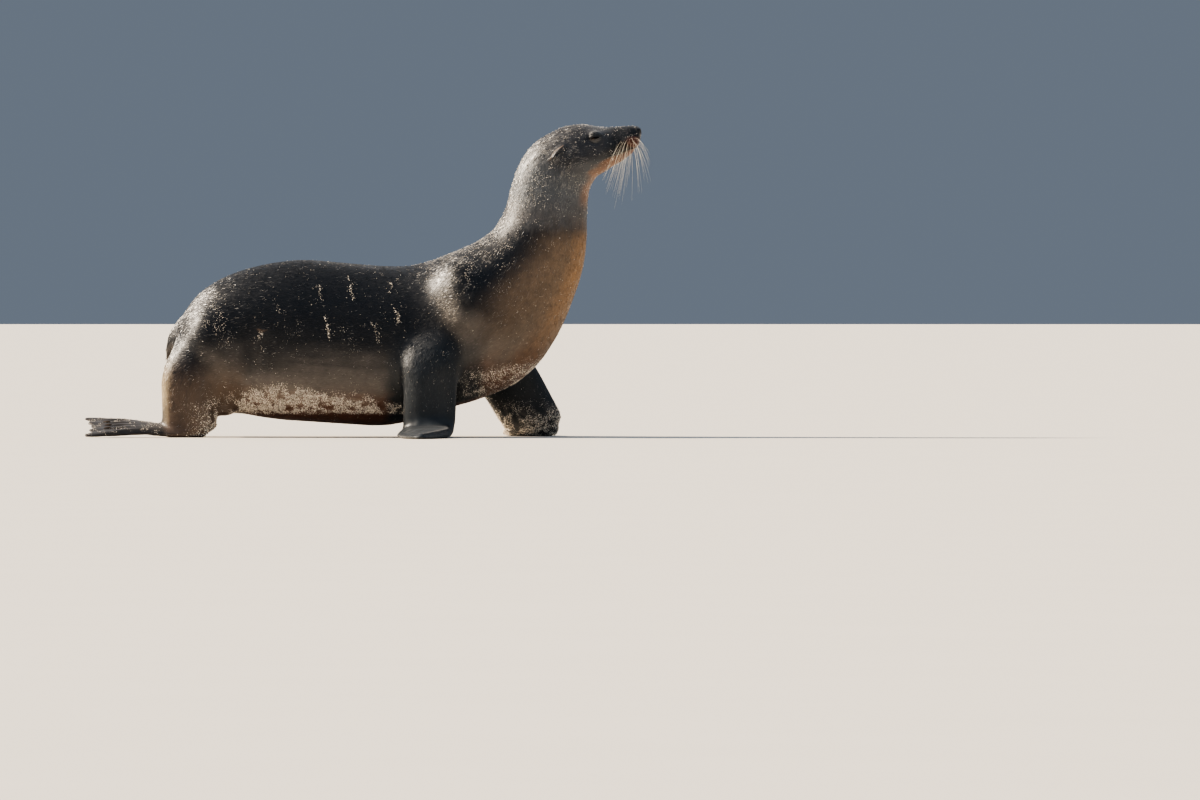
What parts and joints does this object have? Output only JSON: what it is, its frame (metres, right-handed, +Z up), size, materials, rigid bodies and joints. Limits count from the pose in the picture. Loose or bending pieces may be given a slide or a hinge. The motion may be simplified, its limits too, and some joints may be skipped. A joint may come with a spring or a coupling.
{
  "type": "sea lion",
  "caption": "Life-size sea lion walking with raised head, standing on flat fore flippers and hind feet, in wet short fur with sand on it.",
  "frame": {"origin": "middle of the bounding box, at the floor the animal stands on", "axes": "+X the way the animal faces, +Y its left side, +Z up"},
  "size_m": [1.2526, 0.7712, 0.705],
  "materials": {
    "coat_dark": "short wet fur, near black with a cool sheen",
    "coat_brown": "short damp fur, warm brown",
    "flipper": "smooth wet skin, black",
    "eye": "glossy, dark",
    "claw": "dark horn"
  },
  "bodies": {
    "root": {"head": "coat_dark", "lower_jaw": "coat_brown", "neck": "coat_dark", "chest": "coat_brown", "trunk": "coat_dark", "rump": "coat_dark", "tail": "coat_brown", "ear_right": "coat_brown", "ear_left": "coat_brown", "eye_right": "eye", "eye_left": "eye", "foreleg_right": "flipper", "foreleg_left": "flipper", "fore_flipper_right": "flipper", "fore_flipper_left": "flipper", "hind_leg_right": "coat_brown", "hind_leg_left": "coat_brown", "hind_flipper_right": "flipper", "hind_flipper_left": "flipper", "claw_right_1": "claw", "claw_right_2": "claw", "claw_right_3": "claw", "claw_left_1": "claw", "claw_left_2": "claw", "claw_left_3": "claw"}
  },
  "joints": []
}
